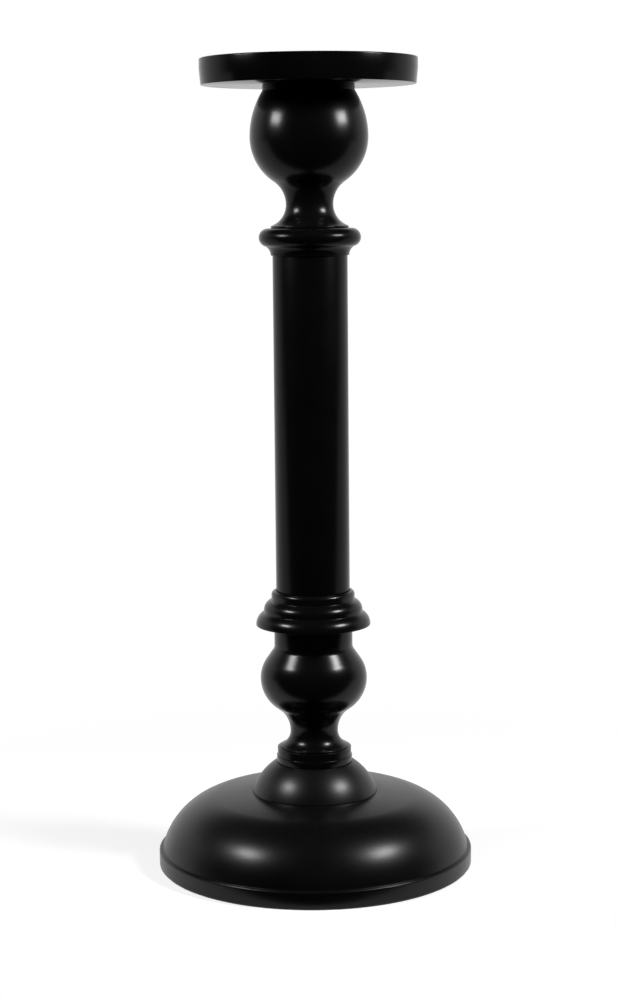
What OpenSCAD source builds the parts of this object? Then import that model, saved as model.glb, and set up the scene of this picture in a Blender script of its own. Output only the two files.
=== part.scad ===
// A turned candle stand: a shallow pan on a vase, a plain column with a
// moulded ring above and a stepped flange below, a knop, and a domed foot.
// One threaded rod runs up the middle and clamps the stack together.
// The origin is on the floor under the middle of the stand, +Z up.

/* [Overall] */
// Height from the floor to the rim of the pan
total_h = 457; // [420:1:520]
// Radial clearance of each turned spigot in its socket
fit_gap = 0.15; // [0.05:0.05:0.3]

/* [Pan] */
// Diameter across the rim of the pan
pan_d = 120.8; // [112:0.2:130]
// Height of the pan from its underside to its rim
pan_h = 14.5; // [13:0.5:18]
// Height of the upright band at the rim
pan_band_h = 6; // [3:0.5:8]
// How far the wall draws in below the band
pan_draft = 0.8; // [0.2:0.1:2]
// Thickness of the pan's wall at the rim
pan_wall = 3.2; // [2.6:0.1:4]
// Thickness of the floor that the candle stands on
pan_floor_t = 4; // [3:0.25:5]
// Radius of the cove between wall and floor
pan_cove_r = 3; // [1:0.5:5]
// Radius on the outer edge of the rim
pan_edge_r = 0.8; // [0.4:0.1:1.2]
// Radius of the hub under the pan
hub_r = 17; // [14:0.5:20]
// Depth of the hub below the pan's underside
hub_h = 8; // [7:0.5:10]
// Radius of the well in the pan that hides the nut
well_r = 9.5; // [9:0.25:11]

/* [Vase] */
// Height of the vase from its foot to the pan
vase_h = 78.6; // [72:0.2:90]
// Radius of the short neck under the pan
vase_neck_r = 25.6; // [23:0.1:28]
// Length of that neck
vase_neck_h = 3.2; // [2:0.2:6]
// Greatest radius of the belly
vase_belly_r = 32.9; // [30:0.1:35]
// Height of the widest place above the foot
vase_belly_z = 50.2; // [47:0.2:54]
// Radius of the curve under the widest place
vase_under_r = 29.4; // [24:0.2:32]
// Radius of the waist
vase_waist_r = 13.2; // [12:0.1:15]
// Height of the waist above the foot
vase_waist_z = 13.1; // [11:0.1:15]
// Radius of the foot
vase_foot_r = 21.7; // [19:0.1:23]
// Height of the foot's upright edge
vase_foot_h = 1.3; // [0.8:0.1:2]

/* [Collar] */
// Height of the collar
collar_h = 15; // [14:0.1:18]
// Greatest radius of its half round
collar_r = 28.5; // [26:0.1:30]
// Radius of the half round itself
collar_bead_r = 5.1; // [4.5:0.1:5.5]
// Radius of the cove under the half round, where it starts
collar_cove_r = 24.8; // [24:0.1:25.5]

/* [Column] */
// Outside diameter of the column tube
column_d = 41.9; // [38:0.1:44]
// Wall of the column tube
column_wall = 2; // [1.2:0.1:3]
// Wall left round the tube where it enters a socket
socket_lip = 1; // [0.6:0.1:1.5]
// Depth that the tube enters each socket
socket_depth = 4; // [3:0.25:5]
// Length of the centring plug in each end of the tube
plug_h = 16; // [12:0.5:24]

/* [Flange] */
// Radius of the upper step
step_1_r = 23.7; // [23:0.1:25]
// Height of the upper step
step_1_h = 5.2; // [4.5:0.1:7]
// Radius of the rounded edge of the upper step
step_1_edge_r = 2.4; // [1.5:0.1:3]
// Radius of the middle step
step_2_r = 28.1; // [27:0.1:30]
// Height of the middle step
step_2_h = 6.6; // [6.2:0.1:8]
// Radius of the rounded edge of the middle step
step_2_edge_r = 6; // [4:0.1:6]
// Radius of the lower step
step_3_r = 32.6; // [31:0.1:35]
// Height of the lower step
step_3_h = 8; // [7.8:0.1:10]
// Radius of the rounded edge of the lower step
step_3_edge_r = 7.6; // [5:0.1:7.6]

/* [Knop] */
// Height of the knop between the flange and the neck ring
knop_h = 71.4; // [66:0.2:80]
// Radius of the upper neck of the knop
knop_neck_r = 22.3; // [20:0.1:24]
// Radius of the hollow curve under that neck
knop_shoulder_r = 5; // [4:0.1:6]
// Length of the straight slope between that curve and the belly
knop_slope_l = 6.5; // [5:0.1:8]
// Greatest radius of the belly
knop_belly_r = 30.4; // [28:0.1:33]
// Height of the widest place above the knop's foot
knop_belly_z = 40.4; // [38:0.2:44]
// Radius of the curve over the widest place
knop_over_r = 19.2; // [16:0.2:22]
// Radius of the curve under the widest place
knop_under_r = 20.6; // [17:0.2:23]
// Radius of the waist
knop_waist_r = 13.6; // [12:0.1:15]
// Height of the waist above the knop's foot
knop_waist_z = 9.4; // [8:0.1:11]
// Radius of the foot
knop_foot_r = 19.6; // [18:0.1:21]
// Height of the foot's upright edge
knop_foot_h = 1; // [0.6:0.1:2]

/* [Neck ring] */
// Height of the ring
ring_h = 8.5; // [7:0.1:10]
// Radius of the ring
ring_r = 21.6; // [20.5:0.1:23]
// Width of the ledge between its two bands
ring_ledge_w = 0.5; // [0.2:0.1:1]
// Height of the lower, fuller band
ring_band_h = 4; // [2:0.1:5]

/* [Foot] */
// Diameter of the foot
base_d = 180; // [170:0.5:195]
// Height from the floor to the seat at the top of the dome
base_h = 42.4; // [41.5:0.1:46]
// Width of the flat seat outside the boss
base_seat_w = 0.9; // [0.4:0.1:2]
// Height of the seat above the highest place that the shoulder's own curve would reach
crown_rise = 2; // [1.6:0.1:6]
// How far the rim stands out past the widest place of the dome
ledge_w = 0.8; // [0.5:0.1:1.5]
// Height of the ledge above the floor
ledge_z = 10.3; // [9:0.1:11.5]
// Wall of the dome
base_wall = 2.6; // [1.8:0.1:3.5]
// Width of the solid rim that stands on the felt
rim_w = 9; // [7:0.5:12]
// Radius on the rim's upper edge
rim_edge_r = 1.2; // [0.6:0.1:1.6]
// Radius on the rim's lower edge
rim_foot_r = 0.6; // [0.4:0.1:1]
// Thickness of the felt ring
felt_t = 0.8; // [0.6:0.1:1.2]
// Margin of bare metal on each side of the felt
felt_margin = 0.6; // [0.4:0.1:1]

/* [Boss] */
// Radius of the boss on top of the dome
boss_r = 36; // [35.5:0.1:37]
// Height of the boss from its seat to the neck ring
boss_h = 17.3; // [16.8:0.1:17.6]
// Radius of the boss's rounded side
boss_side_r = 34; // [33:0.1:36]
// Depth of the centre of that curve below the seat
boss_side_drop = 11.4; // [10.8:0.1:11.7]

/* [Joints] */
// Depth of the spigots between the turned pieces
spigot_h = 6; // [4:0.5:8]
// Radius of those spigots
spigot_r = 10; // [9:0.25:11]
// Lead chamfer on the ends of spigots, plugs and the rod
lead = 0.6; // [0.3:0.1:1]

/* [Rod and nuts] */
// Nominal diameter of the threaded rod
rod_d = 8; // [6:0.5:10]
// Diameter of the rod's clearance holes
rod_hole_d = 9; // [8.6:0.1:11]
// Length of rod that shows under the lower nut
rod_tail = 5; // [3:0.5:8]
// Depth of the rod's top end below the candle's seat
rod_sink = 0.8; // [0.4:0.1:2]
// Width across the flats of both nuts
nut_flats = 13; // [12:0.5:15]
// Height of the lower nut
nut_h = 6.5; // [5:0.5:8]
// Height of the thin nut in the pan
thin_nut_h = 4; // [3:0.5:5]
// Outside diameter of the washer in the pan
washer_d = 17; // [15:0.5:18]
// Thickness of the washer in the pan
washer_t = 1.6; // [1:0.1:2]
// Outside diameter of the washer under the foot
big_washer_d = 24; // [20:0.5:30]
// Thickness of the washer under the foot
big_washer_t = 2; // [1.5:0.1:3]
// Outside diameter of the split spring washer
spring_washer_d = 14; // [13:0.5:16]
// Thickness of the split spring washer
spring_washer_t = 2; // [1.5:0.1:2.5]
// Width of the split in the spring washer
split_w = 0.8; // [0.5:0.1:1.5]
// Radius of the steel plate that spreads the clamping force
plate_r = 29; // [24:0.5:31]
// Thickness of that plate
plate_t = 3; // [2:0.25:4]

/* [Hidden] */
$fn = 96;
// Turn of each short straight stretch that makes up a curve in an outline, in degrees
arc_step = 5;
// Overshoot of cutting shapes, and depth that a joined spigot reaches into its body
eps = 0.5;
enamel = "#161616";
steel = "silver";
felt = "#2b2b2b";

// Places of the joints, from the floor up
boss_z = base_h;
boss_side_x = boss_r - sqrt(boss_side_r * boss_side_r - boss_side_drop * boss_side_drop);
ring_z = boss_z + boss_h;
knop_z = ring_z + ring_h;
flange_z = knop_z + knop_h;
flange_h = step_1_h + step_2_h + step_3_h;
pan_z = total_h - pan_h;
vase_z = pan_z - vase_h;
collar_z = vase_z - collar_h;

// Column and the sockets at its ends
column_r = column_d / 2;
bore_r = column_r - column_wall;
column_bottom_z = flange_z + flange_h - socket_depth;
column_top_z = collar_z + socket_depth;

// Rod, and the well for its nut in the pan
rod_r = rod_d / 2;
rod_hole_r = rod_hole_d / 2;
rod_top_z = pan_z + pan_floor_t - rod_sink;
well_z = rod_top_z - lead - thin_nut_h - washer_t;

// Foot: the shoulder's curve starts upright at the underside of the rim, and the crown
// is centred on the axis
base_r = base_d / 2;
rim_in_r = base_r - rim_w;
shoulder_r = base_h - felt_t - crown_rise;
shoulder_x = base_r - ledge_w - shoulder_r;
crown_drop = crown_drop(boss_r + base_seat_w, base_h - felt_t, shoulder_x, shoulder_r);
crown_r = shoulder_r + norm([shoulder_x, crown_drop]);
plate_z = base_h - base_wall - plate_t;
big_washer_z = plate_z - big_washer_t;
spring_washer_z = big_washer_z - spring_washer_t;
nut_z = spring_washer_z - nut_h;
rod_bottom_z = nut_z - rod_tail;

// Points along an arc round c, without its first point, which the outline already has
function arc(c, r, from, to) =
    let (n = ceil(abs(to - from) / arc_step))
    [for (i = [1:n]) c + r * [cos(from + (to - from) * i / n), sin(from + (to - from) * i / n)]];

// Radius of a curve that leaves an upright line and drifts by off in a run of run
function sweep_r(off, run) = (off * off + run * run) / (2 * off);

// A crown centred on the axis passes through a seat edge at (x, h) and runs smoothly
// into a shoulder of radius r centred at (side_x, 0). Returns how far its centre lies
// below the shoulder's centre.
function crown_drop(x, h, side_x, r) =
    let (
        a = h * h - r * r,
        k = x * x - side_x * side_x + a,
        c = k * k - 4 * r * r * side_x * side_x
    )
    (sqrt(k * k * h * h - a * c) - k * h) / (2 * a);

// Outline of a baluster from the axis at its foot up to its widest place. The waist's
// upper curve is as large as makes it run smoothly into the curve under the belly.
function baluster_low(belly_r, belly_z, under_r, waist_r, waist_z, foot_r, foot_h) =
    let (
        rise = belly_z - waist_z,
        inset = waist_r - belly_r + under_r,
        up_r = (inset * inset + rise * rise - under_r * under_r) / (2 * (belly_r - waist_r)),
        turn = atan2(rise, inset + up_r),
        flare_r = sweep_r(foot_r - waist_r, waist_z - foot_h),
        flare_turn = asin((waist_z - foot_h) / flare_r)
    )
    concat(
        [[0, 0], [foot_r, 0], [foot_r, foot_h]],
        arc([waist_r + flare_r, waist_z], flare_r, 180 + flare_turn, 180),
        arc([waist_r + up_r, waist_z], up_r, 180, 180 - turn),
        arc([belly_r - under_r, belly_z], under_r, -turn, 0)
    );

// Outline of one step of the flange. Its rounded edge ends where the next step, of
// radius next_r, stands on it.
function step_side(r, top_z, edge_r, next_r) =
    let (edge_x = r - edge_r)
    concat(
        [[r, top_z - edge_r]],
        arc([edge_x, top_z - edge_r], edge_r, 0, acos(max(0, (next_r - edge_x) / edge_r))),
        next_r < edge_x ? [[next_r, top_z]] : []
    );

// A turned spigot with a lead chamfer that stands up from height z
module spigot_up(r, z, h) {
    translate([0, 0, z - eps]) cylinder(r = r, h = h - lead + eps);
    translate([0, 0, z + h - lead]) cylinder(r1 = r, r2 = r - lead, h = lead);
}

// The same spigot hanging down from height z
module spigot_down(r, z, h) {
    translate([0, 0, z]) mirror([0, 0, 1]) spigot_up(r, 0, h);
}

// The socket that takes a spigot which stands up from height z
module socket_up(r, z, h) {
    translate([0, 0, z - eps]) cylinder(r = r + fit_gap, h = h + fit_gap + eps);
}

// The socket that takes a spigot which hangs down from height z
module socket_down(r, z, h) {
    translate([0, 0, z]) mirror([0, 0, 1]) socket_up(r, 0, h);
}

// The hole for the rod, through a piece that lies between low_z and high_z
module rod_hole(low_z, high_z) {
    translate([0, 0, low_z - eps]) cylinder(r = rod_hole_r, h = high_z - low_z + 2 * eps);
}

// A hexagon nut with both edges chamfered, tapped for the rod
module hex_nut(h) {
    flat_r = nut_flats / 2;
    difference() {
        intersection() {
            cylinder(r = flat_r / cos(30), h = h, $fn = 6);
            cylinder(r1 = flat_r, r2 = flat_r + h, h = h);
            cylinder(r1 = flat_r + h, r2 = flat_r, h = h);
        }
        translate([0, 0, -eps]) cylinder(r = rod_r, h = h + 2 * eps);
    }
}

// A flat round plate with a hole in the middle
module disc(r, hole_r, t) {
    difference() {
        cylinder(r = r, h = t);
        translate([0, 0, -eps]) cylinder(r = hole_r, h = t + 2 * eps);
    }
}

// Outline of the pan: flat underside, drawn-in wall, upright band, and the recess that
// holds the candle with a cove round its floor
function pan_outline() =
    let (
        r = pan_d / 2,
        lip_c = [r - pan_edge_r, pan_h - pan_edge_r],
        in_r = r - pan_wall,
        cove_c = [in_r - pan_cove_r, pan_floor_t + pan_cove_r]
    )
    concat(
        [[0, 0], [r - pan_draft, 0], [r, pan_h - pan_band_h], [r, pan_h - pan_edge_r]],
        arc(lip_c, pan_edge_r, 0, 90),
        [[in_r, pan_h], [in_r, pan_floor_t + pan_cove_r]],
        arc(cove_c, pan_cove_r, 0, -90),
        [[0, pan_floor_t]]
    );

module candle_pan() {
    color(enamel) difference() {
        union() {
            translate([0, 0, pan_z]) rotate_extrude() polygon(pan_outline());
            spigot_down(hub_r, pan_z, hub_h);
        }
        translate([0, 0, well_z]) cylinder(r = well_r, h = pan_h);
        rod_hole(pan_z - hub_h, well_z);
    }
}

module pan_nut() {
    color(steel) translate([0, 0, well_z + washer_t]) hex_nut(thin_nut_h);
}

module pan_washer() {
    color(steel) translate([0, 0, well_z]) disc(washer_d / 2, rod_r + fit_gap, washer_t);
}

// Outline of the vase
function vase_outline() =
    let (
        rise = vase_h - vase_neck_h - vase_belly_z,
        over_r = sweep_r(vase_belly_r - vase_neck_r, rise)
    )
    concat(
        baluster_low(vase_belly_r, vase_belly_z, vase_under_r, vase_waist_r, vase_waist_z,
            vase_foot_r, vase_foot_h),
        arc([vase_belly_r - over_r, vase_belly_z], over_r, 0, asin(rise / over_r)),
        [[vase_neck_r, vase_h], [0, vase_h]]
    );

module vase() {
    color(enamel) difference() {
        translate([0, 0, vase_z]) rotate_extrude() polygon(vase_outline());
        socket_down(hub_r, pan_z, hub_h);
        socket_up(spigot_r, vase_z, spigot_h);
        rod_hole(vase_z, pan_z);
    }
}

// Outline of the collar: a half round over a cove that narrows to the column
function collar_outline() =
    let (
        bead_c = [collar_r - collar_bead_r, collar_h - collar_bead_r],
        meet_x = collar_cove_r - bead_c.x,
        cove_h = bead_c.y - sqrt(collar_bead_r * collar_bead_r - meet_x * meet_x),
        lip_r = column_r + socket_lip,
        cove_r = sweep_r(collar_cove_r - lip_r, cove_h)
    )
    concat(
        [[0, 0], [lip_r, 0]],
        arc([lip_r + cove_r, 0], cove_r, 180, 180 - asin(cove_h / cove_r)),
        arc(bead_c, collar_bead_r, -acos(meet_x / collar_bead_r), 90),
        [[0, collar_h]]
    );

module collar() {
    color(enamel) difference() {
        union() {
            translate([0, 0, collar_z]) rotate_extrude() polygon(collar_outline());
            spigot_up(spigot_r, vase_z, spigot_h);
        }
        translate([0, 0, collar_z - eps]) cylinder(r = column_r + fit_gap, h = socket_depth + eps);
        rod_hole(collar_z, vase_z + spigot_h);
    }
}

// A turned plug that centres the tube on the rod
module plug(z) {
    mid_z = plug_h / 2;
    color(steel) translate([0, 0, z]) difference() {
        union() {
            spigot_down(bore_r - fit_gap, mid_z, mid_z);
            spigot_up(bore_r - fit_gap, mid_z, mid_z);
        }
        rod_hole(0, plug_h);
    }
}

module upper_plug() {
    plug(column_top_z - plug_h);
}

module lower_plug() {
    plug(column_bottom_z);
}

module column_tube() {
    color(enamel) translate([0, 0, column_bottom_z])
        disc(column_r, bore_r, column_top_z - column_bottom_z);
}

// Outline of the flange, from the wide lower step to the narrow upper one
function flange_outline() =
    concat(
        [[0, 0], [step_3_r, 0]],
        step_side(step_3_r, step_3_h, step_3_edge_r, step_2_r),
        step_side(step_2_r, step_3_h + step_2_h, step_2_edge_r, step_1_r),
        step_side(step_1_r, flange_h, step_1_edge_r, 0)
    );

module stepped_flange() {
    color(enamel) difference() {
        union() {
            translate([0, 0, flange_z]) rotate_extrude() polygon(flange_outline());
            spigot_down(spigot_r, flange_z, spigot_h);
        }
        translate([0, 0, column_bottom_z]) cylinder(r = column_r + fit_gap, h = socket_depth + eps);
        rod_hole(flange_z - spigot_h, column_bottom_z);
    }
}

// Outline of the knop, with the slope and the hollow curve that lead from the belly into
// the upper neck
function knop_outline() =
    let (
        belly_x = knop_belly_r - knop_over_r,
        shoulder_x = knop_neck_r + knop_shoulder_r,
        reach = knop_over_r + knop_shoulder_r,
        lift = acos((shoulder_x - belly_x) / norm([reach, knop_slope_l])) - atan2(knop_slope_l, reach),
        neck_z = knop_belly_z + reach * sin(lift) + knop_slope_l * cos(lift)
    )
    concat(
        baluster_low(knop_belly_r, knop_belly_z, knop_under_r, knop_waist_r, knop_waist_z,
            knop_foot_r, knop_foot_h),
        arc([belly_x, knop_belly_z], knop_over_r, 0, lift),
        arc([shoulder_x, neck_z], knop_shoulder_r, 180 + lift, 180),
        [[knop_neck_r, knop_h], [0, knop_h]]
    );

module knop() {
    color(enamel) difference() {
        translate([0, 0, knop_z]) rotate_extrude() polygon(knop_outline());
        socket_down(spigot_r, flange_z, spigot_h);
        socket_up(spigot_r, knop_z, spigot_h);
        rod_hole(knop_z, flange_z);
    }
}

module neck_ring() {
    upper_r = ring_r - ring_ledge_w;
    color(enamel) difference() {
        union() {
            translate([0, 0, ring_z]) rotate_extrude()
                polygon([[0, 0], [ring_r, 0], [ring_r, ring_band_h], [upper_r, ring_band_h],
                    [upper_r, ring_h], [0, ring_h]]);
            spigot_down(spigot_r, ring_z, spigot_h);
            spigot_up(spigot_r, knop_z, spigot_h);
        }
        rod_hole(ring_z - spigot_h, knop_z + spigot_h);
    }
}

// Outline of the boss: a low dome with a flat top for the neck ring
function boss_outline() =
    concat(
        [[0, 0], [boss_r, 0]],
        arc([boss_side_x, -boss_side_drop], boss_side_r, asin(boss_side_drop / boss_side_r),
            asin((boss_h + boss_side_drop) / boss_side_r)),
        [[0, boss_h]]
    );

module base_boss() {
    color(enamel) difference() {
        union() {
            translate([0, 0, boss_z]) rotate_extrude() polygon(boss_outline());
            spigot_down(spigot_r, boss_z, base_wall - fit_gap);
        }
        socket_down(spigot_r, ring_z, spigot_h);
        rod_hole(boss_z - base_wall, ring_z);
    }
}

// Section of the dome: solid rim, ledge, shoulder, crown and the seat with its hole,
// then back along the inside at the same wall thickness
function dome_outline() =
    let (
        edge_x = base_r - rim_edge_r,
        low_edge_x = base_r - rim_foot_r,
        hole_r = spigot_r + fit_gap,
        shoulder_c = [shoulder_x, felt_t],
        crown_c = [0, felt_t - crown_drop],
        in_shoulder_r = shoulder_r - base_wall,
        in_crown_r = crown_r - base_wall,
        ledge_rise = ledge_z - felt_t,
        join = atan2(crown_drop, shoulder_x),
        seat_rise = base_h - crown_c.y,
        foot_turn = asin(ledge_rise / shoulder_r),
        in_foot_turn = asin(ledge_rise / in_shoulder_r)
    )
    concat(
        [[rim_in_r, felt_t], [low_edge_x, felt_t]],
        arc([low_edge_x, felt_t + rim_foot_r], rim_foot_r, -90, 0),
        [[base_r, ledge_z - rim_edge_r]],
        arc([edge_x, ledge_z - rim_edge_r], rim_edge_r, 0, 90),
        [shoulder_c + shoulder_r * [cos(foot_turn), sin(foot_turn)]],
        arc(shoulder_c, shoulder_r, foot_turn, join),
        arc(crown_c, crown_r, join, asin(seat_rise / crown_r)),
        [[hole_r, base_h], [hole_r, base_h - base_wall]],
        [[sqrt(pow(in_crown_r, 2) - pow(seat_rise - base_wall, 2)), base_h - base_wall]],
        arc(crown_c, in_crown_r, asin((seat_rise - base_wall) / in_crown_r), join),
        arc(shoulder_c, in_shoulder_r, join, in_foot_turn),
        [[rim_in_r, ledge_z]]
    );

module base_dome() {
    color(enamel) rotate_extrude() polygon(dome_outline());
}

module spreader_plate() {
    color(steel) translate([0, 0, plate_z]) disc(plate_r, rod_hole_r, plate_t);
}

module base_washer() {
    color(steel) translate([0, 0, big_washer_z]) disc(big_washer_d / 2, rod_hole_r, big_washer_t);
}

module spring_washer() {
    color(steel) translate([0, 0, spring_washer_z]) difference() {
        disc(spring_washer_d / 2, rod_r + fit_gap, spring_washer_t);
        translate([0, -split_w / 2, -eps]) cube([spring_washer_d, split_w, spring_washer_t + 2 * eps]);
    }
}

module base_nut() {
    color(steel) translate([0, 0, nut_z]) hex_nut(nut_h);
}

module tie_rod() {
    rod_l = rod_top_z - rod_bottom_z;
    color(steel) translate([0, 0, rod_bottom_z]) rotate_extrude()
        polygon([[0, 0], [rod_r - lead, 0], [rod_r, lead], [rod_r, rod_l - lead],
            [rod_r - lead, rod_l], [0, rod_l]]);
}

module felt_ring() {
    color(felt) disc(base_r - rim_foot_r - felt_margin, rim_in_r + felt_margin, felt_t);
}

candle_pan();
pan_nut();
pan_washer();
vase();
collar();
upper_plug();
column_tube();
lower_plug();
stepped_flange();
knop();
neck_ring();
base_boss();
base_dome();
spreader_plate();
base_washer();
spring_washer();
base_nut();
tie_rod();
felt_ring();
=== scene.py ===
import math

import bpy
from mathutils import Matrix, Vector


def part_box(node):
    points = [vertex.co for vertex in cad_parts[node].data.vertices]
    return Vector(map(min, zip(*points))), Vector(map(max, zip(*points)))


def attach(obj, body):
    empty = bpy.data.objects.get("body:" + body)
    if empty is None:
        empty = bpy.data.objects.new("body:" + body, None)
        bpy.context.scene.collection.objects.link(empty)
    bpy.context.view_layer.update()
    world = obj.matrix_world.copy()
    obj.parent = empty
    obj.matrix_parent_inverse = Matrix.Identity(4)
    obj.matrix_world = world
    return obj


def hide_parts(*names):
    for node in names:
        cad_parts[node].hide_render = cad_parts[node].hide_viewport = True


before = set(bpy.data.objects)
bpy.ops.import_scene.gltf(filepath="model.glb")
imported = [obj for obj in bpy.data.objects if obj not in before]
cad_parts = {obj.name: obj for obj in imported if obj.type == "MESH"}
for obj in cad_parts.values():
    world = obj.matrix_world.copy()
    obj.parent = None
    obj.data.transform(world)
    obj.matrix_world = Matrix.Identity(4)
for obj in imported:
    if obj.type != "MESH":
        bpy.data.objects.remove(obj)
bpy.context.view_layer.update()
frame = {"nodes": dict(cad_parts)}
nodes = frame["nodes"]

# The camera
# It stands 1.22 m in front of the stand at the height of the vase, looks slightly down,
# and is turned a little about its own line of sight, as in the photograph.
IMAGE_H = 1000
FOCAL_PX = 2175.4
SENSOR_MM = 36.0
CAMERA_PLACE = (-0.0021, -1.2202, 0.3833)
LOOK_DOWN = math.radians(8.036)
ROLL = math.radians(-0.53)
camera_data = bpy.data.cameras.new("view_camera")
camera_data.sensor_width = SENSOR_MM
camera_data.lens = FOCAL_PX / IMAGE_H * SENSOR_MM
camera = bpy.data.objects.new("view_camera", camera_data)
bpy.context.scene.collection.objects.link(camera)
camera.matrix_world = (
    Matrix.Translation(CAMERA_PLACE)
    @ Matrix.Rotation(math.pi / 2 - LOOK_DOWN, 4, "X")
    @ Matrix.Rotation(ROLL, 4, "Z")
)
bpy.context.scene.camera = camera
bpy.context.scene.view_settings.view_transform = "Standard"

# The white room
# White paper lies under the stand and runs up into a wall far behind it. Near the stand it
# takes the lamps' light and the shadow, and a glow brings it up to white. Farther off the
# glow alone makes it white. A camera below it sees through it, to the stand's underside.
ROOM_W = 7.0
ROOM_BACK = 3.2
ROOM_FRONT = -0.097
ROOM_H = 1.8
SWEEP_R = 0.9
PAPER_Z = -0.00005
PAPER_GREY = (0.5, 0.5, 0.5, 1)
NEAR_GLOW = 0.625
LIT_WITHIN, WHITE_BEYOND = 0.14, 0.42


def bare(name):
    """One new vertex at the origin, in edit mode, to extrude a shape from."""
    bpy.ops.object.select_all(action="DESELECT")
    bpy.ops.mesh.primitive_plane_add(size=0.001, location=(0, 0, 0))
    piece = bpy.context.object
    piece.name = piece.data.name = name
    bpy.ops.object.mode_set(mode="EDIT")
    bpy.ops.mesh.select_all(action="SELECT")
    bpy.ops.mesh.merge(type="CENTER")
    return piece


def draw(points):
    """Extrude the selected vertex, which is at the origin, along a line of points."""
    bpy.ops.transform.translate(value=points[0])
    for here, there in zip(points, points[1:]):
        step = Vector(there) - Vector(here)
        bpy.ops.mesh.extrude_region_move(TRANSFORM_OT_translate={"value": step})


def arc(centre, radius, start, end, step):
    """Points along an arc in degrees, a step apart at most, without its first one."""
    count = max(1, math.ceil(abs(end - start) / step))
    turns = [math.radians(start + (end - start) * i / count) for i in range(1, count + 1)]
    return [
        (centre[0] + radius * math.cos(t), centre[1] + radius * math.sin(t)) for t in turns
    ]


def maths(nodes, operation):
    """A node that does one sum on its two inputs."""
    node = nodes.new("ShaderNodeMath")
    node.operation = operation
    return node


def fade(nodes, start, end):
    """A node that goes from 0 to 1 while its value goes from start to end."""
    node = nodes.new("ShaderNodeMapRange")
    node.inputs["From Min"].default_value = start
    node.inputs["From Max"].default_value = end
    return node


paper_line = [(ROOM_FRONT, PAPER_Z), (ROOM_BACK - SWEEP_R, PAPER_Z)]
paper_line += arc((ROOM_BACK - SWEEP_R, PAPER_Z + SWEEP_R), SWEEP_R, -90, 0, step=6)
paper_line += [(ROOM_BACK, ROOM_H)]
paper = bare("paper_sweep")
draw([(-ROOM_W / 2, y, z) for y, z in paper_line])
bpy.ops.mesh.select_all(action="SELECT")
bpy.ops.mesh.extrude_region_move(TRANSFORM_OT_translate={"value": (ROOM_W, 0, 0)})
bpy.ops.mesh.select_all(action="SELECT")
bpy.ops.mesh.normals_make_consistent(inside=True)
bpy.ops.object.mode_set(mode="OBJECT")

paper_white = bpy.data.materials.new("white_paper")
paper_white.use_nodes = True
tree = paper_white.node_tree
tree.nodes.clear()
paper_out = tree.nodes.new("ShaderNodeOutputMaterial")
paper_matt = tree.nodes.new("ShaderNodeBsdfDiffuse")
paper_matt.inputs["Color"].default_value = PAPER_GREY
paper_glow = tree.nodes.new("ShaderNodeEmission")
paper_lit = tree.nodes.new("ShaderNodeAddShader")
paper_far = tree.nodes.new("ShaderNodeEmission")
paper_mix = tree.nodes.new("ShaderNodeMixShader")
paper_place = tree.nodes.new("ShaderNodeTexCoord")
paper_away = tree.nodes.new("ShaderNodeVectorMath")
paper_away.operation = "LENGTH"
far_off = fade(tree.nodes, LIT_WITHIN, WHITE_BEYOND)
far_off.interpolation_type = "SMOOTHSTEP"
paper_seen = tree.nodes.new("ShaderNodeLightPath")
seen_or_shiny = maths(tree.nodes, "MAXIMUM")
seen_or_clear = maths(tree.nodes, "MAXIMUM")
near_level = maths(tree.nodes, "MULTIPLY")
near_level.inputs[1].default_value = NEAR_GLOW
paper_side = tree.nodes.new("ShaderNodeNewGeometry")
from_below = maths(tree.nodes, "MULTIPLY")
paper_clear = tree.nodes.new("ShaderNodeBsdfTransparent")
paper_pick = tree.nodes.new("ShaderNodeMixShader")
links = tree.links
links.new(paper_seen.outputs["Is Camera Ray"], seen_or_shiny.inputs[0])
links.new(paper_seen.outputs["Is Glossy Ray"], seen_or_shiny.inputs[1])
links.new(seen_or_shiny.outputs[0], seen_or_clear.inputs[0])
links.new(paper_seen.outputs["Is Transmission Ray"], seen_or_clear.inputs[1])
links.new(seen_or_clear.outputs[0], near_level.inputs[0])
links.new(near_level.outputs[0], paper_glow.inputs["Strength"])
links.new(seen_or_clear.outputs[0], paper_far.inputs["Strength"])
links.new(paper_matt.outputs[0], paper_lit.inputs[0])
links.new(paper_glow.outputs[0], paper_lit.inputs[1])
links.new(paper_place.outputs["Object"], paper_away.inputs[0])
links.new(paper_away.outputs["Value"], far_off.inputs["Value"])
links.new(far_off.outputs[0], paper_mix.inputs["Fac"])
links.new(paper_lit.outputs[0], paper_mix.inputs[1])
links.new(paper_far.outputs[0], paper_mix.inputs[2])
links.new(paper_side.outputs["Backfacing"], from_below.inputs[0])
links.new(paper_seen.outputs["Is Camera Ray"], from_below.inputs[1])
links.new(from_below.outputs[0], paper_pick.inputs["Fac"])
links.new(paper_mix.outputs[0], paper_pick.inputs[1])
links.new(paper_clear.outputs[0], paper_pick.inputs[2])
links.new(paper_pick.outputs[0], paper_out.inputs["Surface"])
paper.data.materials.append(paper_white)

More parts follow.
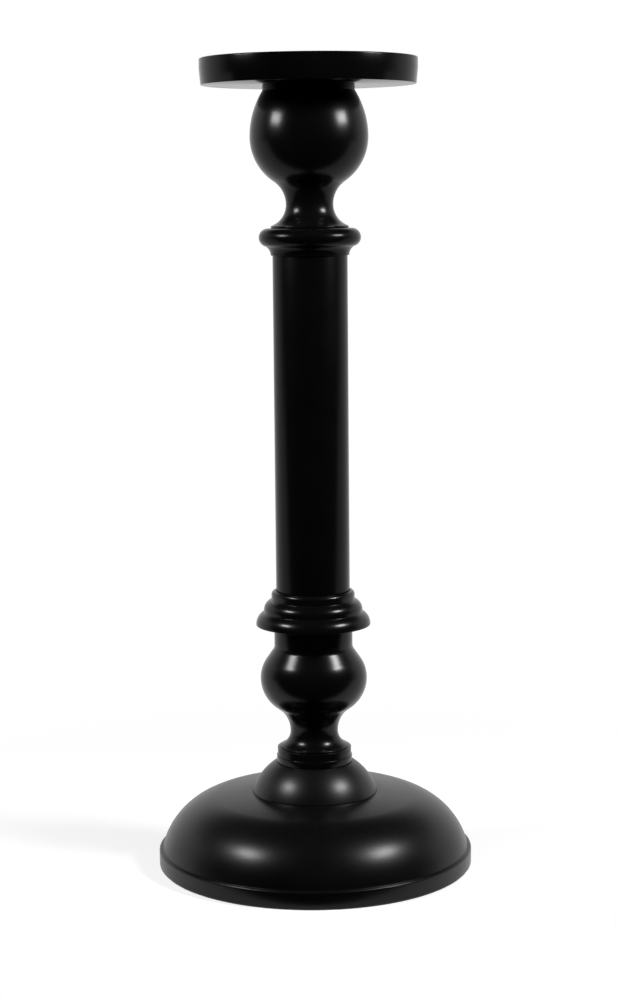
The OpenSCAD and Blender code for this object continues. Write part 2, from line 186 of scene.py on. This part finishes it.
# The light
# Two small soft boxes stand close by on the left and the right, a little in front of the
# stand and above it. The gloss sees a white wall behind the stand, up to about 30 degrees,
# and a dim front and ceiling, so that the black stays black.
SOFTBOX_AWAY = 0.55
SOFTBOX_SIDE = math.radians(69)
SOFTBOX_Z = 0.62
SOFTBOX_W = 0.19
SOFTBOX_H = 0.115
LEFT_POWER, RIGHT_POWER = 4.0, 5.5
STAND_MIDDLE = Vector((0, 0, 0.2))
DIM_LEVEL = 0.035
for name, side, power in (("softbox_left", -1, LEFT_POWER), ("softbox_right", 1, RIGHT_POWER)):
    lamp = bpy.data.lights.new(name, "AREA")
    lamp.shape = "RECTANGLE"
    lamp.size = SOFTBOX_W
    lamp.size_y = SOFTBOX_H
    lamp.energy = power
    softbox = bpy.data.objects.new(name, lamp)
    bpy.context.scene.collection.objects.link(softbox)
    softbox.visible_camera = False
    softbox.location = (
        side * SOFTBOX_AWAY * math.sin(SOFTBOX_SIDE),
        -SOFTBOX_AWAY * math.cos(SOFTBOX_SIDE),
        SOFTBOX_Z,
    )
    softbox.rotation_euler = (softbox.location - STAND_MIDDLE).to_track_quat("Z", "Y").to_euler()

room = bpy.data.worlds.new("white_room")
bpy.context.scene.world = room
room.use_nodes = True
tree = room.node_tree
tree.nodes.clear()
room_out = tree.nodes.new("ShaderNodeOutputWorld")
room_dim = tree.nodes.new("ShaderNodeBackground")
room_dim.inputs["Strength"].default_value = DIM_LEVEL
room_white = tree.nodes.new("ShaderNodeBackground")
room_white.inputs["Color"].default_value = (1, 1, 1, 1)
room_way = tree.nodes.new("ShaderNodeTexCoord")
room_parts = tree.nodes.new("ShaderNodeSeparateXYZ")
white_side = fade(tree.nodes, start=0.0, end=0.35)
below_ceiling = fade(tree.nodes, start=0.6, end=0.4)
white_wall = maths(tree.nodes, "MULTIPLY")
shiny_side = maths(tree.nodes, "MULTIPLY")
shiny_or_clear = maths(tree.nodes, "MAXIMUM")
room_share = maths(tree.nodes, "MAXIMUM")
room_pick = tree.nodes.new("ShaderNodeMixShader")
room_seen = tree.nodes.new("ShaderNodeLightPath")
links = tree.links
links.new(room_way.outputs["Generated"], room_parts.inputs[0])
links.new(room_parts.outputs["Y"], white_side.inputs["Value"])
links.new(room_parts.outputs["Z"], below_ceiling.inputs["Value"])
links.new(white_side.outputs[0], white_wall.inputs[0])
links.new(below_ceiling.outputs[0], white_wall.inputs[1])
links.new(room_seen.outputs["Is Glossy Ray"], shiny_or_clear.inputs[0])
links.new(room_seen.outputs["Is Transmission Ray"], shiny_or_clear.inputs[1])
links.new(shiny_or_clear.outputs[0], shiny_side.inputs[0])
links.new(white_wall.outputs[0], shiny_side.inputs[1])
links.new(room_seen.outputs["Is Camera Ray"], room_share.inputs[0])
links.new(shiny_side.outputs[0], room_share.inputs[1])
links.new(room_share.outputs[0], room_pick.inputs["Fac"])
links.new(room_dim.outputs[0], room_pick.inputs[1])
links.new(room_white.outputs[0], room_pick.inputs[2])
links.new(room_pick.outputs[0], room_out.inputs["Surface"])

# The foot
# A wide dome, turned from an aluminium casting and enamelled black. A ledge runs round it
# over an upright rim. Under it the wall is even, and a solid rim stands on the felt.
TURN_STEPS = 192
SAME_POINT = 1e-6
EASED_EDGE = 0.00022
EASED_OVER = math.radians(28)
SMOOTH_UNDER = math.radians(40)


def turned(name, section, eased=EASED_EDGE):
    """Turn a closed section of (radius, height) points into a piece, edges eased."""
    piece = bare(name)
    draw([(r, 0, z) for r, z in section + section[:1]])
    bpy.ops.mesh.select_all(action="SELECT")
    bpy.ops.mesh.remove_doubles(threshold=SAME_POINT)
    bpy.ops.mesh.spin(
        steps=TURN_STEPS, angle=2 * math.pi, use_auto_merge=True, center=(0, 0, 0), axis=(0, 0, 1)
    )
    bpy.ops.mesh.select_all(action="SELECT")
    bpy.ops.mesh.remove_doubles(threshold=2 * SAME_POINT)
    bpy.ops.mesh.normals_make_consistent(inside=False)
    bpy.ops.object.mode_set(mode="OBJECT")
    ease = piece.modifiers.new("eased_edges", "BEVEL")
    ease.limit_method = "ANGLE"
    ease.angle_limit = EASED_OVER
    ease.width = eased
    ease.segments = 3
    ease.use_clamp_overlap = False
    bpy.ops.object.modifier_apply(modifier=ease.name)
    bpy.ops.object.shade_smooth_by_angle(angle=SMOOTH_UNDER)
    return piece


def coat(piece, material):
    """The piece gets this finish and keeps no other."""
    piece.data.materials.clear()
    piece.data.materials.append(material)


def finished(piece, material):
    """The piece gets its finish, hangs on the root body, and takes the place of its own node."""
    coat(piece, material)
    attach(piece, "root")
    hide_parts(piece.name.removesuffix("_turned"))


def noise(nodes, scale, detail):
    """A noise texture, so many features to the metre."""
    node = nodes.new("ShaderNodeTexNoise")
    node.inputs["Scale"].default_value = scale
    node.inputs["Detail"].default_value = detail
    return node


def two_tone(nodes, dark, light, start=0.0, end=1.0):
    """A colour ramp that is dark up to start and light from end on."""
    node = nodes.new("ShaderNodeValToRGB")
    low, high = node.color_ramp.elements
    low.position, low.color = start, dark
    high.position, high.color = end, light
    return node


def spread(nodes, low, high):
    """A node that goes from low to high while its value goes from 0 to 1."""
    node = nodes.new("ShaderNodeMapRange")
    node.inputs["To Min"].default_value = low
    node.inputs["To Max"].default_value = high
    return node


def bump(nodes, depth):
    """A bump node of this depth in metres."""
    node = nodes.new("ShaderNodeBump")
    node.inputs["Distance"].default_value = depth
    return node


def placed(nodes, group, socket, value):
    """A node group, placed in a material with its own value."""
    node = nodes.new("ShaderNodeGroup")
    node.node_tree = group
    node.inputs[socket].default_value = value
    return node


def new_finish(name):
    """A new material, with its nodes, its links and its shader."""
    material = bpy.data.materials.new(name)
    material.use_nodes = True
    inside = material.node_tree
    return material, inside.nodes, inside.links, inside.nodes["Principled BSDF"]


def new_group(name, takes, gives):
    """A new node group with one value in and one out."""
    group = bpy.data.node_groups.new(name, "ShaderNodeTree")
    group.interface.new_socket(takes, in_out="INPUT", socket_type="NodeSocketFloat")
    group.interface.new_socket(gives, in_out="OUTPUT", socket_type="NodeSocketFloat")
    start, end = group.nodes.new("NodeGroupInput"), group.nodes.new("NodeGroupOutput")
    return group, group.nodes, group.links, start.outputs[takes], end.inputs[gives]


def ring_marks():
    """Node group: fine rings round the upright axis, as a turning tool leaves them."""
    group, nodes, links, rings, marks = new_group("ring_marks", "Rings per metre", "Marks")
    place = nodes.new("ShaderNodeTexCoord")
    part = nodes.new("ShaderNodeSeparateXYZ")
    flat = nodes.new("ShaderNodeCombineXYZ")
    radius = nodes.new("ShaderNodeVectorMath")
    radius.operation = "LENGTH"
    wander = maths(nodes, "MULTIPLY")
    wander.inputs[1].default_value = RING_WANDER
    lathe = nodes.new("ShaderNodeCombineXYZ")
    scaled = nodes.new("ShaderNodeVectorMath")
    scaled.operation = "SCALE"
    grooves = noise(nodes, scale=1.0, detail=3.0)
    links.new(place.outputs["Object"], part.inputs[0])
    links.new(part.outputs["X"], flat.inputs["X"])
    links.new(part.outputs["Y"], flat.inputs["Y"])
    links.new(flat.outputs[0], radius.inputs[0])
    links.new(part.outputs["X"], wander.inputs[0])
    links.new(radius.outputs["Value"], lathe.inputs["X"])
    links.new(wander.outputs[0], lathe.inputs["Y"])
    links.new(part.outputs["Z"], lathe.inputs["Z"])
    links.new(lathe.outputs[0], scaled.inputs[0])
    links.new(rings, scaled.inputs["Scale"])
    links.new(scaled.outputs[0], grooves.inputs["Vector"])
    links.new(grooves.outputs["Fac"], marks)
    return group


def dust_mask():
    """Node group: a thin film of dust that lies only where a surface faces up."""
    group, nodes, links, amount, dust = new_group("dust_mask", "Amount", "Dust")
    face = nodes.new("ShaderNodeNewGeometry")
    part = nodes.new("ShaderNodeSeparateXYZ")
    up = fade(nodes, start=0.75, end=1.0)
    place = nodes.new("ShaderNodeTexCoord")
    specks = noise(nodes, scale=1400.0, detail=4.0)
    few = fade(nodes, start=0.6, end=0.75)
    both = maths(nodes, "MULTIPLY")
    thin = maths(nodes, "MULTIPLY")
    links.new(face.outputs["Normal"], part.inputs[0])
    links.new(part.outputs["Z"], up.inputs["Value"])
    links.new(place.outputs["Object"], specks.inputs["Vector"])
    links.new(specks.outputs["Fac"], few.inputs["Value"])
    links.new(up.outputs[0], both.inputs[0])
    links.new(few.outputs[0], both.inputs[1])
    links.new(both.outputs[0], thin.inputs[0])
    links.new(amount, thin.inputs[1])
    links.new(thin.outputs[0], dust)
    return group


RING_WANDER = 0.02
RING_MARKS = ring_marks()
DUST_MASK = dust_mask()
DUST_AMOUNT = 0.25
DUST_TINT = (0.11, 0.105, 0.095, 1)
ENAMEL_DEEP = (0.0014, 0.0015, 0.0015, 1)
ENAMEL_THIN = (0.0029, 0.0032, 0.0030, 1)
POLISH_SPREAD = 0.035


def enamel(name, rings, ring_depth, peel_depth, rough, shine):
    """Black satin enamel: ring marks telegraph through it, over a faint orange peel."""
    material, nodes, links, shader = new_finish(name)
    shader.inputs["Specular IOR Level"].default_value = shine
    place = nodes.new("ShaderNodeTexCoord")
    marks = placed(nodes, RING_MARKS, "Rings per metre", rings)
    dust = placed(nodes, DUST_MASK, "Amount", DUST_AMOUNT)
    cloud = noise(nodes, scale=28.0, detail=5.0)
    depth = two_tone(nodes, ENAMEL_DEEP, ENAMEL_THIN, start=0.3, end=0.75)
    dusty = nodes.new("ShaderNodeMix")
    dusty.data_type = "RGBA"
    dusty.inputs["B"].default_value = DUST_TINT
    polish = spread(nodes, rough - POLISH_SPREAD, rough + POLISH_SPREAD)
    peel = noise(nodes, scale=420.0, detail=2.0)
    peel_bump = bump(nodes, peel_depth)
    ring_bump = bump(nodes, ring_depth)
    links.new(place.outputs["Object"], cloud.inputs["Vector"])
    links.new(cloud.outputs["Fac"], depth.inputs["Fac"])
    links.new(dust.outputs["Dust"], dusty.inputs["Factor"])
    links.new(depth.outputs["Color"], dusty.inputs["A"])
    links.new(dusty.outputs["Result"], shader.inputs["Base Color"])
    links.new(cloud.outputs["Fac"], polish.inputs["Value"])
    links.new(polish.outputs[0], shader.inputs["Roughness"])
    links.new(place.outputs["Object"], peel.inputs["Vector"])
    links.new(peel.outputs["Fac"], peel_bump.inputs["Height"])
    links.new(marks.outputs["Marks"], ring_bump.inputs["Height"])
    links.new(peel_bump.outputs["Normal"], ring_bump.inputs["Normal"])
    links.new(ring_bump.outputs["Normal"], shader.inputs["Normal"])
    return material


def span(node):
    """Lowest and highest height of a round node, and its widest radius."""
    low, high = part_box(node)
    return low[2], high[2], high[0]


FELT_T, FOOT_H, FOOT_R = span("base_dome")
_, RING_Z, BOSS_R = span("base_boss")
RIM_W = 0.009
RIM_IN_R = FOOT_R - RIM_W
RIM_EDGE_R = 0.0012
RIM_FOOT_R = 0.0006
LEDGE_W = 0.0008
LEDGE_Z = 0.0103
CROWN_RISE = 0.002
SHOULDER_R = FOOT_H - FELT_T - CROWN_RISE
SHOULDER_X = FOOT_R - LEDGE_W - SHOULDER_R
FOOT_WALL = 0.0026
SEAT_W = 0.0009
SEAT_R = BOSS_R + SEAT_W
SPIGOT_R = 0.01
FIT_GAP = 0.00015


def foot_section():
    """The dome's section. The crown is centred on the axis and runs into the shoulder."""
    rise, side, r = FOOT_H - FELT_T, SHOULDER_X, SHOULDER_R
    # The crown passes through the edge of the boss's seat and touches the shoulder, so
    # k + 2 * rise * drop = 2 * r * hypot(side, drop), where drop is how far its centre
    # lies below the shoulder's.
    a = rise**2 - r**2
    k = SEAT_R**2 - side**2 + a
    root = math.sqrt(k * k * rise**2 - a * (k * k - 4 * r * r * side * side))
    drop = (root - k * rise) / (2 * a)
    crown_r = r + math.hypot(side, drop)
    in_r, in_crown_r = r - FOOT_WALL, crown_r - FOOT_WALL
    shoulder, crown = (side, FELT_T), (0, FELT_T - drop)
    lift = LEDGE_Z - FELT_T
    join = math.degrees(math.atan2(drop, side))
    top = FOOT_H - crown[1]
    under = top - FOOT_WALL
    foot_turn = math.degrees(math.asin(lift / r))
    in_turn = math.degrees(math.asin(lift / in_r))
    ledge = math.radians(foot_turn)
    edge_x = FOOT_R - RIM_EDGE_R
    hole = SPIGOT_R + FIT_GAP
    low_edge_x = FOOT_R - RIM_FOOT_R
    section = [(RIM_IN_R, FELT_T), (low_edge_x, FELT_T)]
    section += arc((low_edge_x, FELT_T + RIM_FOOT_R), RIM_FOOT_R, -90, 0, step=15)
    section += [(FOOT_R, LEDGE_Z - RIM_EDGE_R)]
    section += arc((edge_x, LEDGE_Z - RIM_EDGE_R), RIM_EDGE_R, 0, 90, step=15)
    section += [(side + r * math.cos(ledge), FELT_T + r * math.sin(ledge))]
    section += arc(shoulder, r, foot_turn, join, step=2)
    section += arc(crown, crown_r, join, math.degrees(math.asin(top / crown_r)), step=1)
    section += [(hole, FOOT_H), (hole, FOOT_H - FOOT_WALL)]
    section += [(math.sqrt(in_crown_r**2 - under**2), FOOT_H - FOOT_WALL)]
    section += arc(crown, in_crown_r, math.degrees(math.asin(under / in_crown_r)), join, step=2)
    section += arc(shoulder, in_r, join, in_turn, step=4)
    section += [(RIM_IN_R, LEDGE_Z)]
    return section


FOOT_ENAMEL = enamel(
    "foot_enamel", rings=900, ring_depth=2.2e-6, peel_depth=16e-6, rough=0.3, shine=0.19
)
foot = turned("base_dome_turned", foot_section())
finished(foot, FOOT_ENAMEL)

# The felt ring
# Black wool felt, cut as a ring and glued under the rim of the foot, so that the stand
# neither slides nor scratches. Only its lower face and its edges show.
felt, felt_nodes, felt_links, felt_shader = new_finish("black_felt")
felt_shader.inputs["Sheen Weight"].default_value = 0.4
felt_shader.inputs["Specular IOR Level"].default_value = 0.1
felt_place = felt_nodes.new("ShaderNodeTexCoord")
fibres = noise(felt_nodes, scale=2200.0, detail=6.0)
fibres.inputs["Distortion"].default_value = 1.5
fibre_tone = two_tone(felt_nodes, (0.012, 0.012, 0.012, 1), (0.05, 0.05, 0.05, 1))
fibre_rough = spread(felt_nodes, 0.85, 1.0)
fibre_bump = bump(felt_nodes, 0.0003)
felt_links.new(felt_place.outputs["Object"], fibres.inputs["Vector"])
felt_links.new(fibres.outputs["Fac"], fibre_tone.inputs["Fac"])
felt_links.new(fibres.outputs["Fac"], fibre_rough.inputs["Value"])
felt_links.new(fibres.outputs["Fac"], fibre_bump.inputs["Height"])
felt_links.new(fibre_tone.outputs["Color"], felt_shader.inputs["Base Color"])
felt_links.new(fibre_rough.outputs[0], felt_shader.inputs["Roughness"])
felt_links.new(fibre_bump.outputs["Normal"], felt_shader.inputs["Normal"])
coat(nodes["felt_ring"], felt)

# The boss
# A low turned dome on the middle of the foot, with a socket for the ring over it. Its
# spigot enters the hole in the foot, and the rod passes through.
BOSS_SIDE_R = 0.034
BOSS_SIDE_DROP = 0.0114
BOSS_SIDE_X = BOSS_R - math.sqrt(BOSS_SIDE_R**2 - BOSS_SIDE_DROP**2)
ROD_HOLE_R = 0.0045
SPIGOT_H = 0.006
LEAD = 0.0006


def spigot(seat, end, hub=SPIGOT_R):
    """Section points of a spigot, from its end, which has a lead, to the seat."""
    lead = LEAD if end < seat else -LEAD
    return [(ROD_HOLE_R, end), (hub - LEAD, end), (hub, end + lead), (hub, seat)]


def socket(mouth, depth_to, hub=SPIGOT_R):
    """Section points of a socket, from its mouth in as far as depth_to."""
    return [(hub + FIT_GAP, mouth), (hub + FIT_GAP, depth_to), (ROD_HOLE_R, depth_to)]


side_z = FOOT_H - BOSS_SIDE_DROP
boss_low = math.degrees(math.asin(BOSS_SIDE_DROP / BOSS_SIDE_R))
boss_top = math.degrees(math.asin((RING_Z - side_z) / BOSS_SIDE_R))
boss_section = spigot(FOOT_H, FOOT_H - FOOT_WALL + FIT_GAP) + [(BOSS_R, FOOT_H)]
boss_section += arc((BOSS_SIDE_X, side_z), BOSS_SIDE_R, boss_low, boss_top, step=1.5)
boss_section += socket(RING_Z, RING_Z - SPIGOT_H - FIT_GAP)
BOSS_ENAMEL = enamel(
    "boss_enamel", rings=900, ring_depth=2.2e-6, peel_depth=16e-6, rough=0.35, shine=0.29
)
boss = turned("base_boss_turned", boss_section)
finished(boss, BOSS_ENAMEL)

# The neck ring
# A crisp ring of two bands, the upper one turned down by half a millimetre, with a spigot
# on each side. Its edges are a little sharper than those of the other pieces.
_, _, RING_R = span("neck_ring")
KNOP_Z, FLANGE_Z, KNOP_R = span("knop")
RING_BAND_H = 0.004
RING_LEDGE_W = 0.0005
RING_EASED = 0.0002
ring_section = spigot(RING_Z, RING_Z - SPIGOT_H)
ring_section += [
    (RING_R, RING_Z),
    (RING_R, RING_Z + RING_BAND_H),
    (RING_R - RING_LEDGE_W, RING_Z + RING_BAND_H),
    (RING_R - RING_LEDGE_W, KNOP_Z),
]
ring_section += spigot(KNOP_Z, KNOP_Z + SPIGOT_H)[::-1]
TURNED_ENAMEL = enamel(
    "turned_enamel", rings=1500, ring_depth=1.8e-6, peel_depth=6e-6, rough=0.23, shine=0.165
)
neck_ring = turned("neck_ring_turned", ring_section, eased=RING_EASED)
finished(neck_ring, TURNED_ENAMEL)

# The knop
# The lower baluster: a ball between a short neck and a thin waist, turned in one piece
# with a socket in each end.
KNOP_BELLY_Z = 0.0404
KNOP_OVER_R = 0.0192
KNOP_SHOULDER_R = 0.005
KNOP_SLOPE = 0.0065
KNOP_NECK_R = 0.0223


def sweep_r(off, run):
    """Radius of a curve that leaves an upright line and drifts off in a run."""
    return (off * off + run * run) / (2 * off)


def baluster_low(z, belly_r, belly_z, under_r, waist_r, waist_z, foot_r, foot_h):
    """Outline from the foot's outer edge at z, over the waist, to the widest place."""
    rise = belly_z - waist_z
    inset = waist_r - belly_r + under_r
    up_r = (inset**2 + rise**2 - under_r**2) / (2 * (belly_r - waist_r))
    turn = math.degrees(math.atan2(rise, inset + up_r))
    flare_r = sweep_r(foot_r - waist_r, waist_z - foot_h)
    flare = math.degrees(math.asin((waist_z - foot_h) / flare_r))
    line = [(foot_r, z), (foot_r, z + foot_h)]
    line += arc((waist_r + flare_r, z + waist_z), flare_r, 180 + flare, 180, step=2)
    line += arc((waist_r + up_r, z + waist_z), up_r, 180, 180 - turn, step=1)
    line += arc((belly_r - under_r, z + belly_z), under_r, -turn, 0, step=1.5)
    return line


reach = KNOP_OVER_R + KNOP_SHOULDER_R
knop_lift = math.acos(
    (KNOP_NECK_R + KNOP_SHOULDER_R - KNOP_R + KNOP_OVER_R) / math.hypot(reach, KNOP_SLOPE)
)
knop_lift -= math.atan2(KNOP_SLOPE, reach)
neck_z = KNOP_Z + KNOP_BELLY_Z + reach * math.sin(knop_lift) + KNOP_SLOPE * math.cos(knop_lift)
lift_deg = math.degrees(knop_lift)
knop_section = baluster_low(
    KNOP_Z, KNOP_R, KNOP_BELLY_Z, under_r=0.0206,
    waist_r=0.0136, waist_z=0.0094, foot_r=0.0196, foot_h=0.001,
)
knop_section += arc(
    (KNOP_R - KNOP_OVER_R, KNOP_Z + KNOP_BELLY_Z), KNOP_OVER_R, 0, lift_deg, step=1.5
)
knop_section += arc(
    (KNOP_NECK_R + KNOP_SHOULDER_R, neck_z), KNOP_SHOULDER_R, 180 + lift_deg, 180, step=2
)
knop_section += [(KNOP_NECK_R, FLANGE_Z)]
knop_section += socket(FLANGE_Z, FLANGE_Z - SPIGOT_H - FIT_GAP)
knop_section += socket(KNOP_Z, KNOP_Z + SPIGOT_H + FIT_GAP)[::-1]
knop = turned("knop_turned", knop_section)
finished(knop, TURNED_ENAMEL)

# The stepped flange
# Three rounded steps, the widest below, that carry the column in a shallow socket. Each
# step's rounded edge ends where the next one stands on it.
column_low, column_high, COLUMN_R = span("column_tube")
STEP_R = (0.0326, 0.0281, 0.0237)
STEP_H = (0.008, 0.0066, 0.0052)
STEP_EDGE_R = (0.0076, 0.006, 0.0024)
flange_section = spigot(FLANGE_Z, FLANGE_Z - SPIGOT_H) + [(STEP_R[0], FLANGE_Z)]
step_z = FLANGE_Z
for r, h, edge, next_r in zip(STEP_R, STEP_H, STEP_EDGE_R, STEP_R[1:] + (0,)):
    step_z += h
    edge_x = r - edge
    stop = math.degrees(math.acos(max(0, (next_r - edge_x) / edge)))
    flange_section += [(r, step_z - edge)]
    flange_section += arc((edge_x, step_z - edge), edge, 0, stop, step=3)
flange_section += socket(step_z, column_low, COLUMN_R)
flange = turned("stepped_flange_turned", flange_section)
finished(flange, TURNED_ENAMEL)

# The column
# A plain drawn aluminium tube, enamelled with the rest. It stands in the flange's socket
# and enters the collar's.
TUBE_WALL = 0.002
column_section = [
    (COLUMN_R - TUBE_WALL, column_low),
    (COLUMN_R, column_low),
    (COLUMN_R, column_high),
    (COLUMN_R - TUBE_WALL, column_high),
]
COLUMN_ENAMEL = enamel(
    "column_enamel", rings=700, ring_depth=1e-6, peel_depth=6e-6, rough=0.24, shine=0.08
)
column = turned("column_tube_turned", column_section)
finished(column, COLUMN_ENAMEL)

# The collar
# A half round over a small cove, with a shallow socket for the column below and a spigot
# for the vase above.
COLLAR_Z, _, COLLAR_R = span("collar")
VASE_Z, PAN_Z, VASE_R = span("vase")
BEAD_R = 0.0051
COVE_START_R = 0.0248
SOCKET_LIP = 0.001
bead = (COLLAR_R - BEAD_R, VASE_Z - BEAD_R)
meet = COVE_START_R - bead[0]
cove_h = bead[1] - COLLAR_Z - math.sqrt(BEAD_R**2 - meet**2)
lip_r = COLUMN_R + SOCKET_LIP
cove_r = sweep_r(COVE_START_R - lip_r, cove_h)
cove_turn = math.degrees(math.asin(cove_h / cove_r))
collar_section = socket(COLLAR_Z, column_high, COLUMN_R)[::-1] + [(lip_r, COLLAR_Z)]
collar_section += arc((lip_r + cove_r, COLLAR_Z), cove_r, 180, 180 - cove_turn, step=2)
collar_section += arc(bead, BEAD_R, -math.degrees(math.acos(meet / BEAD_R)), 90, step=5)
collar_section += spigot(VASE_Z, VASE_Z + SPIGOT_H)[::-1]
collar = turned("collar_turned", collar_section)
finished(collar, COLUMN_ENAMEL)

# The vase
# The upper baluster: a long belly over a thin waist. It holds the pan's hub above and the
# collar's spigot below.
HUB_R = 0.017
HUB_H = 0.008
VASE_BELLY_Z = 0.0502
VASE_NECK_R = 0.0256
VASE_NECK_H = 0.0032
vase_rise = PAN_Z - VASE_Z - VASE_NECK_H - VASE_BELLY_Z
over_r = sweep_r(VASE_R - VASE_NECK_R, vase_rise)
over_turn = math.degrees(math.asin(vase_rise / over_r))
vase_section = baluster_low(
    VASE_Z, VASE_R, VASE_BELLY_Z, under_r=0.0294,
    waist_r=0.0132, waist_z=0.0131, foot_r=0.0217, foot_h=0.0013,
)
vase_section += arc((VASE_R - over_r, VASE_Z + VASE_BELLY_Z), over_r, 0, over_turn, step=1)
vase_section += [(VASE_NECK_R, PAN_Z)]
vase_section += socket(PAN_Z, PAN_Z - HUB_H - FIT_GAP, HUB_R)
vase_section += socket(VASE_Z, VASE_Z + SPIGOT_H + FIT_GAP)[::-1]
VASE_ENAMEL = enamel(
    "vase_enamel", rings=1500, ring_depth=1.8e-6, peel_depth=6e-6, rough=0.23, shine=0.115
)
vase = turned("vase_turned", vase_section)
finished(vase, VASE_ENAMEL)

# The candle pan
# A shallow round pan with an upright band over a wall that draws in. Its floor has a cove
# round it and a well in the middle, where the rod's nut and washer lie below the candle.
_, PAN_TOP_Z, PAN_R = span("candle_pan")
WELL_Z, _, _ = span("pan_washer")
WELL_R = 0.0095
PAN_BAND_H = 0.006
PAN_DRAFT = 0.0008
PAN_EDGE_R = 0.0008
PAN_WALL = 0.0032
PAN_COVE_R = 0.003
PAN_FLOOR_T = 0.004
floor_z = PAN_Z + PAN_FLOOR_T
pan_in_r = PAN_R - PAN_WALL
pan_section = spigot(PAN_Z, PAN_Z - HUB_H, HUB_R)
pan_section += [
    (PAN_R - PAN_DRAFT, PAN_Z),
    (PAN_R, PAN_TOP_Z - PAN_BAND_H),
    (PAN_R, PAN_TOP_Z - PAN_EDGE_R),
]
pan_section += arc((PAN_R - PAN_EDGE_R, PAN_TOP_Z - PAN_EDGE_R), PAN_EDGE_R, 0, 90, step=15)
pan_section += [(pan_in_r, PAN_TOP_Z), (pan_in_r, floor_z + PAN_COVE_R)]
pan_section += arc((pan_in_r - PAN_COVE_R, floor_z + PAN_COVE_R), PAN_COVE_R, 0, -90, step=10)
pan_section += [(WELL_R, floor_z), (WELL_R, WELL_Z), (ROD_HOLE_R, WELL_Z)]
PAN_ENAMEL = enamel(
    "pan_enamel", rings=1100, ring_depth=2e-6, peel_depth=6e-6, rough=0.18, shine=0.08
)
pan = turned("candle_pan_turned", pan_section)
finished(pan, PAN_ENAMEL)

# The plate, nuts and washers
# Bright zinc plated steel. They are plain stock parts, and show only under the foot and in
# the well of the pan.
WEAR_SPREAD = 0.08


def metal(name, dark, light, rings, ring_depth, rough):
    """Bare or plated metal with clouded tone and the marks of the tool."""
    material, nodes, links, shader = new_finish(name)
    shader.inputs["Metallic"].default_value = 1.0
    place = nodes.new("ShaderNodeTexCoord")
    marks = placed(nodes, RING_MARKS, "Rings per metre", rings)
    cloud = noise(nodes, scale=180.0, detail=6.0)
    tone = two_tone(nodes, dark, light, start=0.3, end=0.7)
    wear = spread(nodes, rough - WEAR_SPREAD, rough + WEAR_SPREAD)
    tool_bump = bump(nodes, ring_depth)
    links.new(place.outputs["Object"], cloud.inputs["Vector"])
    links.new(cloud.outputs["Fac"], tone.inputs["Fac"])
    links.new(cloud.outputs["Fac"], wear.inputs["Value"])
    links.new(marks.outputs["Marks"], tool_bump.inputs["Height"])
    links.new(tone.outputs["Color"], shader.inputs["Base Color"])
    links.new(wear.outputs[0], shader.inputs["Roughness"])
    links.new(tool_bump.outputs["Normal"], shader.inputs["Normal"])
    return material


zinc = metal(
    "zinc_plate", dark=(0.45, 0.46, 0.48, 1), light=(0.62, 0.63, 0.64, 1),
    rings=1800, ring_depth=4e-6, rough=0.32,
)
for name in (
    "spreader_plate", "base_washer", "spring_washer", "base_nut", "pan_nut", "pan_washer"
):
    coat(nodes[name], zinc)

# The tie rod
# A zinc plated M8 rod, threaded from end to end with a rolled thread, with a short lead at
# each end. Its ends show under the foot and in the well of the pan.
rod_low, rod_high, ROD_R = span("tie_rod")
PITCH = 0.00125
DEPTH_TO_PITCH = 0.6134
THREAD_DEPTH = DEPTH_TO_PITCH * PITCH
CREST_W = PITCH / 8
ROOT_W = PITCH / 4
THREAD_SIDES = 20
ON_THE_CUT = 1e-7
thread_start = rod_low - PITCH
flank_end = PITCH - (PITCH - CREST_W - ROOT_W) / 2
rod = bare("tie_rod_turned")
draw(
    [(r, 0, thread_start + z) for r, z in (
        (ROD_R - THREAD_DEPTH, 0),
        (ROD_R - THREAD_DEPTH, ROOT_W),
        (ROD_R, flank_end - CREST_W),
        (ROD_R, flank_end),
        (ROD_R - THREAD_DEPTH, PITCH),
    )]
)
bpy.ops.object.mode_set(mode="OBJECT")
thread = rod.modifiers.new("thread", "SCREW")
thread.screw_offset = PITCH
thread.iterations = math.ceil((rod_high - rod_low) / PITCH) + 2
thread.steps = thread.render_steps = THREAD_SIDES
bpy.ops.object.modifier_apply(modifier=thread.name)
bpy.ops.object.mode_set(mode="EDIT")
bpy.ops.mesh.select_all(action="SELECT")
bpy.ops.mesh.remove_doubles(threshold=SAME_POINT)
for cut_z, above in ((rod_low, False), (rod_high, True)):
    bpy.ops.mesh.select_all(action="SELECT")
    bpy.ops.mesh.bisect(
        plane_co=(0, 0, cut_z), plane_no=(0, 0, 1), threshold=ON_THE_CUT,
        use_fill=True, clear_inner=not above, clear_outer=above,
    )
bpy.ops.mesh.select_all(action="SELECT")
bpy.ops.mesh.normals_make_consistent(inside=False)
bpy.ops.object.mode_set(mode="OBJECT")
for vertex in rod.data.vertices:
    x, y, z = vertex.co
    out = math.hypot(x, y)
    most = ROD_R - LEAD + min(z - rod_low, rod_high - z)
    if out > most:
        vertex.co = (x * most / out, y * most / out, z)
bpy.ops.object.shade_smooth_by_angle(angle=SMOOTH_UNDER)
finished(rod, zinc)

# The plugs
# Bare turned aluminium plugs, one in each end of the tube, which centre it on the rod.
# The collar and the flange hide them.
plug_metal = metal(
    "bare_aluminium", dark=(0.66, 0.66, 0.67, 1), light=(0.78, 0.78, 0.79, 1),
    rings=1400, ring_depth=6e-6, rough=0.3,
)
for name in ("upper_plug", "lower_plug"):
    coat(nodes[name], plug_metal)
